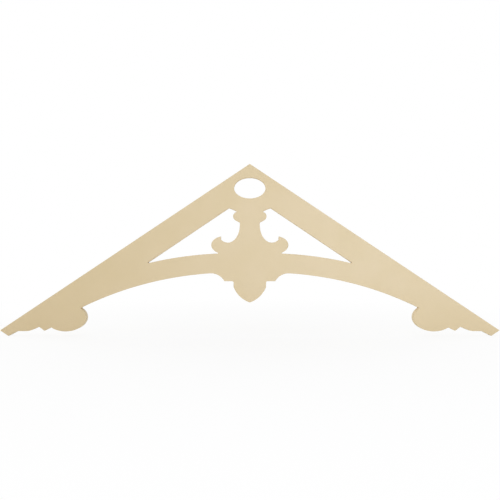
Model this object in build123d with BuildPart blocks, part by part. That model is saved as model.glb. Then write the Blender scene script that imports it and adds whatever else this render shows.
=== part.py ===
from build123d import *
from math import acos, atan, cos, degrees, sqrt
import os

# A gable pediment: one flat board, fret-cut to fill the peak of a gable.
#
# Lengths are millimetres. In the outline, x runs out from the centre line and y runs up
# from the eave line, the level of the board's two tips. The right half is drawn form by
# form and then mirrored: a straight rake rail with a foot at its tip, an arch that springs
# from the foot, and half of the ornament that joins the arch to the peak.
# The pattern's rounds are ellipses, as much lower than wide as the roof is pitched.

# Whole board
width = 1828.8
roof_pitch = 8 / 12
thickness = 25.4
rake_width = 91.6
cutter_radius = 1.6

# Foot, counted inward from the tip
end_cut_drop = 20.3
toe_run = 33.4
tail_length = 142.7
tail_drop = 2.8
ogee_run = 48.3
ogee_rise = 16
ogee_radius = 63
ogee_angle = 25
bead_width = 44.3
bead_run = 19.7
bead_drop = 14.8
scroll_half_width = 75.1
scroll_hang = 3.8

# Arch, struck from two centres and hung below the peak
arch_depth = 71
arch_crown_below_peak = 398.1
arch_centre_offset = 60
haunch_radius = 57
haunch_x = 142.6

# Pendant under the crown of the arch
shelf_drop = 31.6
pendant_half_width = 59.5
pendant_cove = 6
pendant_cheek = 15
pendant_drop = 77.9
pendant_bulge = 9.2

# Neck and arms above the crown of the arch
neck_half_width = 36.5
neck_flare = 65.2
valley_x = 80
valley_above_crown = 109.8
arm_tip_x = 106.2
arm_notch_rise = 11.2
lobe_x = 92
lobe_above_crown = 100.9
lobe_half_width = 49.2

# Collar and ears under the peak
ball_x = 45.5
ball_radius = 15.9
ball_below_peak = 192.1
collar_drop = 22.5
ear_x = 77.5
ear_radius = 105

# Eye through the peak
eye_below_peak = 88.2
eye_half_width = 57.7

# Roof lines
tip_x = width / 2
peak_y = tip_x * roof_pitch
rake_drop = rake_width / cos(atan(roof_pitch))


def rake_underside_y(x):
    return peak_y - x * roof_pitch - rake_drop


# Points of the foot
tail_end = (tip_x - tail_drop / roof_pitch, -tail_drop)
tail_cusp = (tip_x - tail_length, ogee_rise - tail_drop)
toe_tip = (tip_x - end_cut_drop / roof_pitch, -end_cut_drop)
toe_heel = (toe_tip[0] - toe_run, -tail_drop)
bead_tip = (tail_cusp[0] - bead_run, tail_cusp[1] - bead_drop)
scroll_half_height = scroll_half_width * roof_pitch
shoulder_dx = scroll_half_width / sqrt(2)
shoulder_dy = scroll_half_height / sqrt(2)
scroll_x = tail_cusp[0] - bead_width - shoulder_dx
scroll_y = rake_underside_y(scroll_x) - scroll_hang
scroll_centre = (scroll_x, scroll_y)

# Circles of the arch. Its underside is level at the crown and springs from the scroll's shoulder.
crown_y = peak_y - arch_crown_below_peak
spring = (scroll_x - shoulder_dx, scroll_y + shoulder_dy)
arch_run = spring[0] - arch_centre_offset
arch_rise = crown_y - spring[1]
underside_radius = (arch_run**2 + arch_rise**2) / (2 * arch_rise)
topside_radius = underside_radius + arch_depth
arch_centre = Vector(arch_centre_offset, crown_y - underside_radius)


def arch_y(x, radius):
    return arch_centre.Y + sqrt(radius**2 - (x - arch_centre_offset) ** 2)


# Circle of the haunch, tangent inside the arch's underside and cut off level by the shelf
haunch_reach = underside_radius - haunch_radius
haunch_centre = Vector(haunch_x, arch_y(haunch_x, haunch_reach))
haunch_top = arch_centre + (haunch_centre - arch_centre) * (underside_radius / haunch_reach)
shelf_y = crown_y - shelf_drop
shelf_x = haunch_x - sqrt(haunch_radius**2 - (haunch_centre.Y - shelf_y) ** 2)

# Rake rail, from the peak to the tail, whose lower edge ends in an ogee
with BuildSketch() as rake:
    with BuildLine():
        tail = Line(tail_end, (tail_cusp[0] + ogee_run, -tail_drop))
        ogee = JernArc(tail @ 1, tail % 1, ogee_radius, -ogee_angle)
        Line(ogee @ 1, tail_cusp)
        Polyline(tail_cusp, scroll_centre, (0, rake_underside_y(0)), (0, peak_y), (tip_x, 0), tail_end)
    make_face()

# Toe at the tip, whose end slants inward at the roof's own pitch
with BuildSketch() as toe:
    Polygon((tip_x, 0), toe_tip, toe_heel, align=None)

# Foot scroll, and the pointed bead between it and the tail
with BuildSketch() as scroll:
    with Locations(scroll_centre):
        Ellipse(scroll_half_width, scroll_half_height)
    bead_root = (scroll_x + shoulder_dx, scroll_y - shoulder_dy)
    Polygon(scroll_centre, bead_root, bead_tip, tail_cusp, align=None)

# Arch band, with the haunch, the shelf and the pendant along its underside
with BuildSketch() as arch:
    with BuildLine():
        pendant_tip = (0, shelf_y - pendant_drop)
        cheek_top = (pendant_half_width, shelf_y - pendant_cove)
        cheek_foot = (pendant_half_width, cheek_top[1] - pendant_cheek)
        shelf_start = (pendant_half_width + pendant_cove, shelf_y)
        SagittaArc(pendant_tip, cheek_foot, -pendant_bulge)
        Line(cheek_foot, cheek_top)
        RadiusArc(cheek_top, shelf_start, pendant_cove)
        Line(shelf_start, (shelf_x, shelf_y))
        RadiusArc((shelf_x, shelf_y), haunch_top, haunch_radius)
        underside_end = (scroll_x, arch_y(scroll_x, underside_radius))
        topside_end = (spring[0], arch_y(spring[0], topside_radius))
        topside_crown = (0, arch_y(0, topside_radius))
        RadiusArc(haunch_top, underside_end, underside_radius)
        Line(underside_end, topside_end)
        RadiusArc(topside_end, topside_crown, -topside_radius)
        Line(topside_crown, pendant_tip)
    make_face()

# Collar ball, faired down to the neck by its tangent
ball_centre = (ball_x, peak_y - ball_below_peak)
ball_top = (ball_x, ball_centre[1] + ball_radius)
neck_corner = (neck_half_width, ball_centre[1] - collar_drop)
with BuildSketch() as collar:
    with BuildLine():
        ball = CenterArc(ball_centre, ball_radius, -90, 180, mode=Mode.PRIVATE)
        fairing = ConstrainedLines(ball, neck_corner, selector=lambda lines: lines.sort_by(Axis.X)[-1])
        ThreePointArc(fairing.edge() @ 0, ball @ 0.5, ball_top)
        Polyline(ball_top, (0, ball_top[1]), (0, neck_corner[1]), neck_corner)
    make_face()

# Neck and arm: the neck flares into a valley, and the arm rolls over in a lobe down to the arch
valley = (valley_x, crown_y + valley_above_crown)
flare_centre = (valley_x, valley[1] + neck_flare)
notch_end = (arm_tip_x, valley[1] + arm_notch_rise)
lobe_centre = (lobe_x, crown_y + lobe_above_crown)
lobe_half_height = lobe_half_width * roof_pitch
lobe_turn = 90 + degrees(acos((arm_tip_x - lobe_x) / lobe_half_width))
with BuildSketch() as stem:
    with BuildLine():
        flare = EllipticalCenterArc(flare_centre, valley_x - neck_half_width, neck_flare, 180, arc_size=90)
        TangentArc(valley, notch_end, tangent=(1, 0))
        lobe = EllipticalCenterArc(lobe_centre, lobe_half_width, lobe_half_height, -90, arc_size=lobe_turn)
        Line(notch_end, lobe @ 1)
        Polyline(lobe @ 0, (0, crown_y), (0, ball_top[1]), (neck_half_width, ball_top[1]), flare @ 0)
    make_face()

# Gusset that fills the peak down to the collar, with an ear curving out to the rake
ear = (ear_x, rake_underside_y(ear_x))
with BuildSketch() as gusset:
    with BuildLine():
        RadiusArc(ball_top, ear, ear_radius)
        Polyline(ear, (0, peak_y), (0, ball_top[1]), ball_top)
    make_face()

# The board stands upright with its face towards -Y. Its flat back lies on the plane y = 0,
# and the origin is the middle of the back's height, on the centre line.
back_centre_y = (peak_y - end_cut_drop) / 2
board_plane = Plane(origin=(0, 0, -back_centre_y), x_dir=(1, 0, 0), z_dir=(0, -1, 0))

with BuildPart() as gable_pediment:
    with BuildSketch(board_plane) as outline:
        for form in (rake, toe, scroll, arch, collar, stem, gusset):
            add(form.sketch)
        mirror(about=Plane.YZ)
    extrude(amount=thickness)
    # A round cutter leaves its own radius in every inside corner
    inside_corners = gable_pediment.edges().filter_by(Axis.Y).filter_by(Edge.is_interior)
    fillet(inside_corners, cutter_radius)
    with BuildSketch(board_plane) as eye:
        with Locations((0, peak_y - eye_below_peak)):
            Ellipse(eye_half_width, eye_half_width * roof_pitch)
    extrude(amount=thickness, mode=Mode.SUBTRACT)

gable_pediment.part.label = "gable_pediment"
os.makedirs("parts", exist_ok=True)
export_step(gable_pediment.part, "parts/gable_pediment.step")
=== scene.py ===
# %% [markdown]
# A gable pediment in factory primer
#
# A gable pediment is a flat board that fills the peak of a gable. It is cut in one piece from
# a sheet of trim board, with a router, and leaves the factory in a tan primer coat. So the
# whole object is one outline with a thickness, and its looks rest on three things: a clean
# curve, an edge that catches a little light, and a primer that is not quite even.
#
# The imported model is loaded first. It already has the true outline, the true thickness and
# the true place, so nothing here sets a size of its own beyond the finish.

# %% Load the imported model
import math
import bmesh
import bpy
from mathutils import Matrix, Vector


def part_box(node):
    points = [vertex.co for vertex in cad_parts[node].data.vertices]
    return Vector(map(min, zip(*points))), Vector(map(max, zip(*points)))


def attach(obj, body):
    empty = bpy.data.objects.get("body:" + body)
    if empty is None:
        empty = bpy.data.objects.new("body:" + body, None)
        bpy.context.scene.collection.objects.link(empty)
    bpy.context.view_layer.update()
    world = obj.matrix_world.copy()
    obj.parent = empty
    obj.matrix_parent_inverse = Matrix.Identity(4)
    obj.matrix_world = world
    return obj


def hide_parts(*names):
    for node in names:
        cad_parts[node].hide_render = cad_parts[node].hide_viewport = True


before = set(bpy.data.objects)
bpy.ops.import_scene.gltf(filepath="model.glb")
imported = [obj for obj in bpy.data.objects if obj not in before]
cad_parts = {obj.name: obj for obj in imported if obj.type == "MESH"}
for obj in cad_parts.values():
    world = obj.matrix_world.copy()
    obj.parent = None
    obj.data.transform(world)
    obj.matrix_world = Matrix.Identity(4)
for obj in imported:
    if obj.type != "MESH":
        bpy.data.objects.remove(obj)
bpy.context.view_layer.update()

MM = 0.001
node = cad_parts["gable_pediment"]
low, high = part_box("gable_pediment")
thickness = high.y - low.y
print(f"board: {high.x - low.x:.4f} m wide, {high.z - low.z:.4f} m high, {thickness:.4f} m thick")

# %% [markdown]
# The camera
#
# The photograph is taken square to the face, from about two metres away. The distance shows
# in the cut edges: the further out an opening lies, the more of its inner wall is seen. At
# that distance the board just fills the width of the picture, which settles the lens. It
# follows from two lengths: how far the face is from the camera, and how much of the face's
# plane the picture takes in. A new camera looks straight down, and a quarter turn about X
# raises it to look level at the face.

# %% Place the camera
CAMERA_TO_FACE = 2.007
VIEW_WIDTH = 1.8297
CAMERA_X = 0.7 * MM
CAMERA_Z = -0.5 * MM
SENSOR = 36.0
QUARTER_TURN = math.radians(90)


def add_object(name, data):
    """Put an object with this mesh, camera or lamp into the scene."""
    made = bpy.data.objects.new(name, data)
    bpy.context.scene.collection.objects.link(made)
    return made


camera_data = bpy.data.cameras.new("camera")
camera_data.sensor_width = SENSOR
camera_data.lens = SENSOR * CAMERA_TO_FACE / VIEW_WIDTH
camera = add_object("camera", camera_data)
camera.location = (CAMERA_X, low.y - CAMERA_TO_FACE, CAMERA_Z)
camera.rotation_euler = (QUARTER_TURN, 0, 0)
bpy.context.scene.camera = camera
print(f"camera: {camera_data.lens:.1f} mm lens, {CAMERA_TO_FACE:.3f} m from the face")

# %% [markdown]
# The sawn outline
#
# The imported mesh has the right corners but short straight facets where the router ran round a
# curve. The board could be shaded smooth as it is, and at arm's length it would pass. Seen
# close, though, the scroll and the eye would still be polygons, so the curves are refined.
#
# Only the cut edge is kept to begin with: a ribbon of four-sided walls that follows the
# outline and the three openings. Without the face and the back in the way, each wall can be
# refined by itself, and the two flats are filled in again afterwards.

# %% Keep the ribbon of cut edges
WELD = 0.001 * MM
SAME_PLANE = math.radians(0.05)
FACING_SQUARE = 0.999


def is_flat(face):
    """Whether a face lies in the board's face or back."""
    return abs(face.normal.y) > FACING_SQUARE


board = bmesh.new()
board.from_mesh(node.data)
bmesh.ops.remove_doubles(board, verts=board.verts, dist=WELD)
board.normal_update()
bmesh.ops.delete(board, geom=[face for face in board.faces if is_flat(face)], context="FACES")
bmesh.ops.dissolve_limit(board, angle_limit=SAME_PLANE, verts=board.verts, edges=board.edges)
print(f"ribbon: {len(board.faces)} walls")

# %% [markdown]
# Tell the curves from the straights
#
# A router bit leaves true curves and crisp corners. The facets of a curve meet at less than
# nine degrees, and the bluntest corner that must stay sharp turns by more than twenty, so one
# angle tells them apart. A straight run must stay straight. It is told from a curve by its
# neighbours: facets of one curve are alike in length, while a straight run is much longer than
# the facets it meets.
#
# The edge between two walls, which runs straight through the thickness, is called a post here.

# %% Find the curved walls
CORNER = math.radians(15)
ALIKE = 2.0


def posts_of(wall):
    """The wall's two edges that run through the thickness, in the order of the outline."""
    forward = wall.normal.cross((0, 1, 0))
    upright = [edge for edge in wall.edges if abs(edge.verts[0].co.y - edge.verts[1].co.y) > WELD]
    return sorted(upright, key=lambda edge: edge.verts[0].co.dot(forward))


def length_of(wall):
    """The wall's length along the outline."""
    start, end = posts_of(wall)
    return (end.verts[0].co - start.verts[0].co).xz.length


def turn_at(post):
    """How far the outline turns at a post: above zero where it is convex, below where it is hollow."""
    return post.calc_face_angle_signed()


def smooth_neighbour(wall, post):
    """The wall beyond a post, or None where a corner lies between."""
    if abs(turn_at(post)) > CORNER:
        return None
    return next(face for face in post.link_faces if face is not wall)


def is_curved(wall):
    """Whether the wall runs on smoothly into one of about its own length."""
    neighbours = [smooth_neighbour(wall, post) for post in posts_of(wall)]
    ratios = [length_of(other) / length_of(wall) for other in neighbours if other]
    return any(1 / ALIKE < ratio < ALIKE for ratio in ratios)


curved = {wall for wall in board.faces if is_curved(wall)}
print(f"ribbon: {len(curved)} walls lie on curves, {len(board.faces) - len(curved)} on straight runs")

# %% [markdown]
# Measure how the curves bend
#
# A wall on a curve is a chord of it, so at each post the true curve leaves the wall at a small
# angle, its bend there. Half of the turn at its other post is a good guess of it, or half of
# the turn at the post itself, where the other is a corner. Next to a straight run the whole
# turn belongs to the curve. Between two walls of a curve, what their guesses leave over of the
# turn is shared, so that the two bends always add up to it.

# %% Measure the bends
def guess_bend(wall, post):
    """A wall's bend at a post, judged from its other post."""
    far_post = next(edge for edge in posts_of(wall) if edge is not post)
    beyond = smooth_neighbour(wall, far_post)
    if beyond is None:
        return turn_at(post) / 2 if smooth_neighbour(wall, post) else 0
    return turn_at(far_post) / 2 if beyond in curved else turn_at(far_post)


def bend_at(wall, post):
    """A wall's bend at a post, made to agree with the wall beyond it."""
    other = smooth_neighbour(wall, post)
    if other is None:
        return guess_bend(wall, post)
    if other not in curved:
        return turn_at(post)
    left_over = turn_at(post) - guess_bend(wall, post) - guess_bend(other, post)
    return guess_bend(wall, post) + left_over / 2


bends = {}
for wall in board.faces:
    if wall in curved:
        bends[wall] = [bend_at(wall, post) for post in posts_of(wall)]
widest = max(abs(bend) for pair in bends.values() for bend in pair)
print(f"ribbon: the curves bend away from their walls by up to {math.degrees(widest):.1f} degrees")

# %% [markdown]
# Round the curves
#
# Each curved wall is cut into up to four, and the new points are pushed out from the chord,
# or in where the curve is hollow. The push is a cubic that starts and ends at the wall's two
# bends, so the outline runs on smoothly from wall to wall. A wall is never cut shorter than the
# arris needs beside a corner, or the easing in the next step would fold over itself there.

# %% Push the walls out to the curve
MOST_CUTS = 3
SHORTEST_PIECE = 1.5 * MM

for wall, (start_bend, end_bend) in bends.items():
    start, end = (post.verts[0].co.copy() for post in posts_of(wall))
    chord = (end - start) * Vector((1, 0, 1))
    cuts = min(MOST_CUTS, int(chord.length / SHORTEST_PIECE) - 1)
    if cuts < 1:
        continue
    outward = wall.normal.copy()
    posts = posts_of(wall)
    level_edges = [edge for edge in wall.edges if edge not in posts]
    made = bmesh.ops.subdivide_edges(board, edges=level_edges, cuts=cuts, use_grid_fill=True)
    for vert in (item for item in made["geom_inner"] if isinstance(item, bmesh.types.BMVert)):
        along = (vert.co - start).dot(chord) / chord.length_squared
        leaving = math.tan(start_bend) * along * (1 - along) ** 2
        arriving = math.tan(end_bend) * along**2 * (1 - along)
        vert.co += outward * (leaving + arriving) * chord.length
board.normal_update()
print(f"ribbon: {len(board.faces)} walls now")

# %% [markdown]
# Close the face and the back, and ease the arris
#
# A sharp edge doesn't hold paint, so the arris, the line where face and cut edge meet, is
# rubbed down a little before priming. A bevel would do it, but a filled face has long thin
# triangles that run to every point of the outline, and a bevel has to thread between them.
# Insetting the whole face is steadier: each inset walks the outline inward by an even width,
# the face is then lifted to its new level, and three such steps follow a quarter circle.
#
# The ribbon is made narrower first by the radius at both sides, so that the finished board is
# exactly as thick as before. Each point also keeps a number for the primer to read later: how
# much it belongs to the cut edge, from 1 on a wall to 0 on a flat.

# %% Fill and ease the two flats
ARRIS_RADIUS = 0.8 * MM
ARRIS_STEPS = 3

wear = board.verts.layers.float.new("cut_edge")
for vert in board.verts:
    vert[wear] = 1.0

for side, level in ((-1, low.y), (1, high.y)):
    rim = [vert for vert in board.verts if abs(vert.co.y - level) < WELD]
    bmesh.ops.translate(board, verts=rim, vec=(0, -side * ARRIS_RADIUS, 0))
    rim_edges = [edge for edge in board.edges if edge.is_boundary and set(edge.verts) <= set(rim)]
    filled = bmesh.ops.triangle_fill(board, edges=rim_edges, use_beauty=True, normal=(0, side, 0))
    flat = [item for item in filled["geom"] if isinstance(item, bmesh.types.BMFace)]
    for step in range(ARRIS_STEPS):
        start = QUARTER_TURN * step / ARRIS_STEPS
        end = QUARTER_TURN * (step + 1) / ARRIS_STEPS
        inward = ARRIS_RADIUS * (math.cos(start) - math.cos(end))
        bmesh.ops.inset_region(board, faces=flat, thickness=inward, use_even_offset=True)
        for vert in {vert for face in flat for vert in face.verts}:
            vert.co.y = level - side * ARRIS_RADIUS * (1 - math.sin(end))
            vert[wear] = math.cos(end)

board.normal_update()
middle = (low.y + high.y) / 2
folded = [face for face in board.faces if face.normal.y * (face.calc_center_median().y - middle) < -WELD]
bmesh.ops.recalc_face_normals(board, faces=board.faces)
closed = all(edge.is_manifold for edge in board.edges)
print(f"board: {len(board.faces)} faces, {len(folded)} folded over, closed {closed}")
print(f"board: {board.calc_volume() * 1e6:.1f} cubic centimetres")

# %% [markdown]
# Shade it
#
# Walls of a curve share their normals, and so do the three facets of the arris, which meet at
# 30 degrees. So light runs smoothly round the scroll and over the edge. Real corners are marked
# sharp, and so is the line where the arris meets a flat: the big flat triangles then keep one
# even normal and no gradient creeps across the face.

# %% Make the board object
SHARP = math.radians(35)

for face in board.faces:
    face.smooth = not is_flat(face)
for edge in board.edges:
    flats_met = [is_flat(face) for face in edge.link_faces]
    edge.smooth = edge.calc_face_angle(0) < SHARP and any(flats_met) == all(flats_met)

mesh = bpy.data.meshes.new("pediment_board")
board.to_mesh(mesh)
board.free()
pediment = add_object("pediment_board", mesh)
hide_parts("gable_pediment")
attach(pediment, "root")
print(f"board: {sum(edge.use_edge_sharp for edge in mesh.edges)} of {len(mesh.edges)} edges stay sharp")

# %% [markdown]
# Arithmetic for finishes
#
# A finish is a sum of small effects, and it reads best as a formula. The class below wraps a
# socket, so that a + b or 1 - mask adds its Math node. Everything that is not arithmetic
# comes from one function: it takes the node's type, its settings and its sockets.

# %% Shader helpers
class Signal:
    """An output socket that Python can calculate with."""

    def __init__(self, socket):
        self.socket = socket

    def combine(self, operation, first, second):
        tree = self.socket.id_data
        return add_node(tree, "ShaderNodeMath", {"operation": operation}, {0: first, 1: second})

    def __add__(self, other):
        return self.combine("ADD", self, other)

    def __radd__(self, other):
        return self.combine("ADD", other, self)

    def __sub__(self, other):
        return self.combine("SUBTRACT", self, other)

    def __rsub__(self, other):
        return self.combine("SUBTRACT", other, self)

    def __mul__(self, other):
        return self.combine("MULTIPLY", self, other)

    def __rmul__(self, other):
        return self.combine("MULTIPLY", other, self)


def add_node(tree, kind, settings=None, sockets=None, output=0):
    """Add a node, set it up, feed its sockets and return one of its outputs, if it has any."""
    made = tree.nodes.new(kind)
    for name, value in (settings or {}).items():
        setattr(made, name, value)
    for name, value in (sockets or {}).items():
        socket = made.inputs[name]
        if isinstance(value, Signal):
            tree.links.new(value.socket, socket)
        else:
            socket.default_value = value
    return Signal(made.outputs[output]) if made.outputs else made


def new_tree(owner):
    """Give a material or a world an empty node tree."""
    owner.use_nodes = True
    owner.node_tree.nodes.clear()
    return owner.node_tree


# %% [markdown]
# The patterns of the primer
#
# The board is sprayed with a tan primer that dries to a soft sheen. Three things keep it from
# looking like flat colour: the coat is a little thicker in some places than in others, fine
# droplets dry into a faint orange peel, and the cut edge drinks more primer than the skin of
# the sheet, so it dries duller and shows the lines that the router bit left across it.
#
# Noise in Object coordinates is measured in metres, so a scale of 10 gives patches of about
# 100 mm. The lines on the cut edge need no unwrapping: with Y, the way through the board,
# squeezed to a twentieth, the same noise stretches into streaks across every wall.

# %% Primer patterns
PATCH_SCALE = 9.0
DROPLET_SCALE = 420.0
CUTTER_SCALE = 700.0
CUTTER_SQUEEZE = 0.05


def primer_patterns(tree):
    """The patches of the coat, its dried droplets and the streaks of the cutter, each about one half."""

    def noise(vector, scale, detail):
        sockets = {"Vector": vector, "Scale": scale, "Detail": detail}
        return add_node(tree, "ShaderNodeTexNoise", None, sockets)

    place = add_node(tree, "ShaderNodeTexCoord", output="Object")
    squeezed = add_node(tree, "ShaderNodeMapping", None, {"Vector": place, "Scale": (1, CUTTER_SQUEEZE, 1)})
    patches = noise(place, PATCH_SCALE, 4)
    droplets = noise(place, DROPLET_SCALE, 2)
    streaks = noise(squeezed, CUTTER_SCALE, 2)
    return patches, droplets, streaks


print(f"primer: patches of about {1 / PATCH_SCALE / MM:.0f} mm, droplets of {1 / DROPLET_SCALE / MM:.1f} mm")

# %% [markdown]
# The primer
#
# One material does for the whole board. The cut_edge attribute, which is 1 on the cut edge and
# falls to 0 over the arris, tells it where it is, so the change comes without a seam. Where the
# coat is thin, the tan is a shade deeper. On the cut edge the tan is painted paler and greyer, a
# painted reflection of the white studio seen at a grazing angle, stronger along the router's
# lines. The relief is a fraction of a millimetre, far too fine for the mesh, so it is a bump.

# %% Primer material
TAN = (0.655, 0.510, 0.292, 1)
TAN_THIN = (0.637, 0.495, 0.270, 1)
# Painted reflection: the cut edge's tan is paler and greyer, standing in for the white studio mirrored at a
# grazing angle.
TAN_EDGE_PAINTED_PALE = (0.672, 0.536, 0.320, 1)
PATCH_CONTRAST = 2.2
DROPLET_CONTRAST = 0.6
# How much of the painted reflection the cut edge gets, evenly and along the router's lines.
PAINTED_REFLECTION_ON_EDGE = 0.55
PAINTED_REFLECTION_IN_STREAKS = 0.6
DROPLET_RELIEF = 0.15 * MM
CUTTER_RELIEF = 0.2 * MM
SHEEN_ROUGHNESS = 0.42
PATCH_ROUGHNESS = 0.1
EDGE_ROUGHNESS = 0.12
PRIMER_SPECULAR = 0.8


def primer():
    """Tan primer, even on the flats, duller on the cut edge, with a painted reflection there."""
    material = bpy.data.materials.new("tan_primer")
    tree = new_tree(material)

    def add(kind, settings=None, sockets=None, output=0):
        return add_node(tree, kind, settings, sockets, output)

    def blend(share, first, second):
        return add("ShaderNodeMix", {"data_type": "RGBA"}, {0: share, 6: first, 7: second}, output=2)

    patches, droplets, streaks = primer_patterns(tree)
    cut_edge = add("ShaderNodeAttribute", {"attribute_name": "cut_edge"}, output="Fac")

    thin = 0.5 + (patches - 0.5) * PATCH_CONTRAST + (droplets - 0.5) * DROPLET_CONTRAST
    # Painted reflection on the cut edge, stronger along the router's lines.
    painted_edge_reflection = cut_edge * (PAINTED_REFLECTION_ON_EDGE + streaks * PAINTED_REFLECTION_IN_STREAKS)
    colour = blend(painted_edge_reflection, blend(thin, TAN, TAN_THIN), TAN_EDGE_PAINTED_PALE)

    relief = droplets * (1 - cut_edge) * DROPLET_RELIEF + streaks * cut_edge * CUTTER_RELIEF
    bump = add("ShaderNodeBump", None, {"Height": relief, "Distance": 1.0, "Strength": 1.0})
    roughness = SHEEN_ROUGHNESS + (patches - 0.5) * PATCH_ROUGHNESS + cut_edge * EDGE_ROUGHNESS

    surface = add(
        "ShaderNodeBsdfPrincipled",
        None,
        {
            "Base Color": colour,
            "Roughness": roughness,
            "Normal": bump,
            "Specular IOR Level": PRIMER_SPECULAR,
        },
    )
    add("ShaderNodeOutputMaterial", None, {"Surface": surface})
    return material


mesh.materials.append(primer())
print(f"finish: {mesh.materials[0].name}, {len(mesh.materials[0].node_tree.nodes)} nodes")

# %% [markdown]
# White for the camera only
#
# The picture has a clean white ground, and turning the lamps up would burn the board out with
# it. So the floor and the world are white to the camera only. Light Path tells which rays come
# from the camera, straight or by way of a mirror or glass, and a strength of 1 is white. All
# other rays still meet the shaded floor and the real studio, so the board is lit as before.

# %% White to the camera
WHITE = (1, 1, 1, 1)


def white_to_camera(tree, shaded, share):
    """Mix a share of white into a shader, as seen by the camera, in a mirror or through glass."""
    rays = ("Is Camera Ray", "Is Glossy Ray", "Is Transmission Ray")
    straight, mirrored, through = (add_node(tree, "ShaderNodeLightPath", output=ray) for ray in rays)
    seen = straight + mirrored + through
    white = add_node(tree, "ShaderNodeEmission", None, {"Color": WHITE, "Strength": 1.0})
    return add_node(tree, "ShaderNodeMixShader", None, {0: seen * share, 1: shaded, 2: white})


# %% [markdown]
# The floor
#
# The board stands on a plain pale floor, one big square at the height of its toes. Round the
# board a share of the floor's own shading is kept, so that the board still leaves a soft
# shadow. The share fades out with distance, and no edge or horizon shows.

# %% Floor
FLOOR_SIZE = 12.0
FLOOR_WHITE = 0.85
FLOOR_KEEPS_SHADE = 0.2
SHADE_ENDS_AT = 1.8

floor_mesh = bpy.data.meshes.new("floor")
plane = bmesh.new()
bmesh.ops.create_grid(plane, x_segments=1, y_segments=1, size=FLOOR_SIZE / 2)
bmesh.ops.translate(plane, verts=plane.verts, vec=(0, 0, low.z))
plane.to_mesh(floor_mesh)
plane.free()
floor = add_object("floor", floor_mesh)

floor_material = bpy.data.materials.new("pale_floor")
floor_tree = new_tree(floor_material)
paint = add_node(floor_tree, "ShaderNodeBsdfDiffuse", None, {"Color": (FLOOR_WHITE,) * 3 + (1,)})
spot = add_node(floor_tree, "ShaderNodeTexCoord", output="Object")
distance = add_node(floor_tree, "ShaderNodeVectorMath", {"operation": "LENGTH"}, {0: spot}, output="Value")
kept = add_node(
    floor_tree,
    "ShaderNodeMapRange",
    {"interpolation_type": "SMOOTHSTEP"},
    {"Value": distance, "From Max": SHADE_ENDS_AT, "To Min": FLOOR_KEEPS_SHADE, "To Max": 0.0},
)
floor_look = white_to_camera(floor_tree, paint, 1 - kept)
add_node(floor_tree, "ShaderNodeOutputMaterial", None, {"Surface": floor_look})
floor_mesh.materials.append(floor_material)
print(f"floor: {FLOOR_SIZE:.0f} m wide, keeps {FLOOR_KEEPS_SHADE:.0%} of its shade under the board")

# %% [markdown]
# The studio
#
# A white studio gives most of the light, from all round, with a little more from the left and
# from behind the board. That keeps the cut edges as bright as the face, which no lamp in front
# could do. The world's strength is a level plus a swing, which adds light on the side that it
# points to and takes as much away on the other. Colours are shown plainly, with the Standard
# view.

# %% Studio
STUDIO_LEVEL = 0.94
STUDIO_SWING = (-0.47, 0.3, 0)

world = bpy.data.worlds.new("studio")
bpy.context.scene.world = world
world_tree = new_tree(world)
heading = add_node(world_tree, "ShaderNodeTexCoord", output="Generated")
swing = add_node(
    world_tree,
    "ShaderNodeVectorMath",
    {"operation": "DOT_PRODUCT"},
    {0: heading, 1: STUDIO_SWING},
    output="Value",
)
studio = add_node(
    world_tree,
    "ShaderNodeBackground",
    None,
    {"Color": WHITE, "Strength": STUDIO_LEVEL + swing},
)
world_look = white_to_camera(world_tree, studio, 1.0)
add_node(world_tree, "ShaderNodeOutputWorld", None, {"Surface": world_look})
bpy.context.scene.view_settings.view_transform = "Standard"
brightest = STUDIO_LEVEL + Vector(STUDIO_SWING).length
print(f"studio: level {STUDIO_LEVEL:.2f} square to the swing, {brightest:.2f} along it")

# %% [markdown]
# The soft box
#
# One wide, low soft box stands behind the camera and to the right, just clear of the floor, and
# aims at the middle of the board. It is a touch cooler than the studio and mirrors faintly in
# the primer, so the right half of the board reads paler than the left, as in the photograph.

# %% Soft box
BOX_PLACE = Vector((0.9, -3.03, 0.05))
BOX_SIZE = (3.5, 0.7)
BOX_POWER = 33.0
BOX_COLOUR = (0.895, 1.0, 1.175)

lamp = bpy.data.lights.new("soft_box", "AREA")
lamp.shape = "RECTANGLE"
lamp.size, lamp.size_y = BOX_SIZE
lamp.energy = BOX_POWER
lamp.color = BOX_COLOUR
soft_box = add_object("soft_box", lamp)
soft_box.location = BOX_PLACE
soft_box.rotation_euler = (-BOX_PLACE).to_track_quat("-Z", "Y").to_euler()
soft_box.visible_camera = False
print(f"soft box: {BOX_POWER:.0f} W, {BOX_PLACE.length:.2f} m from the board")
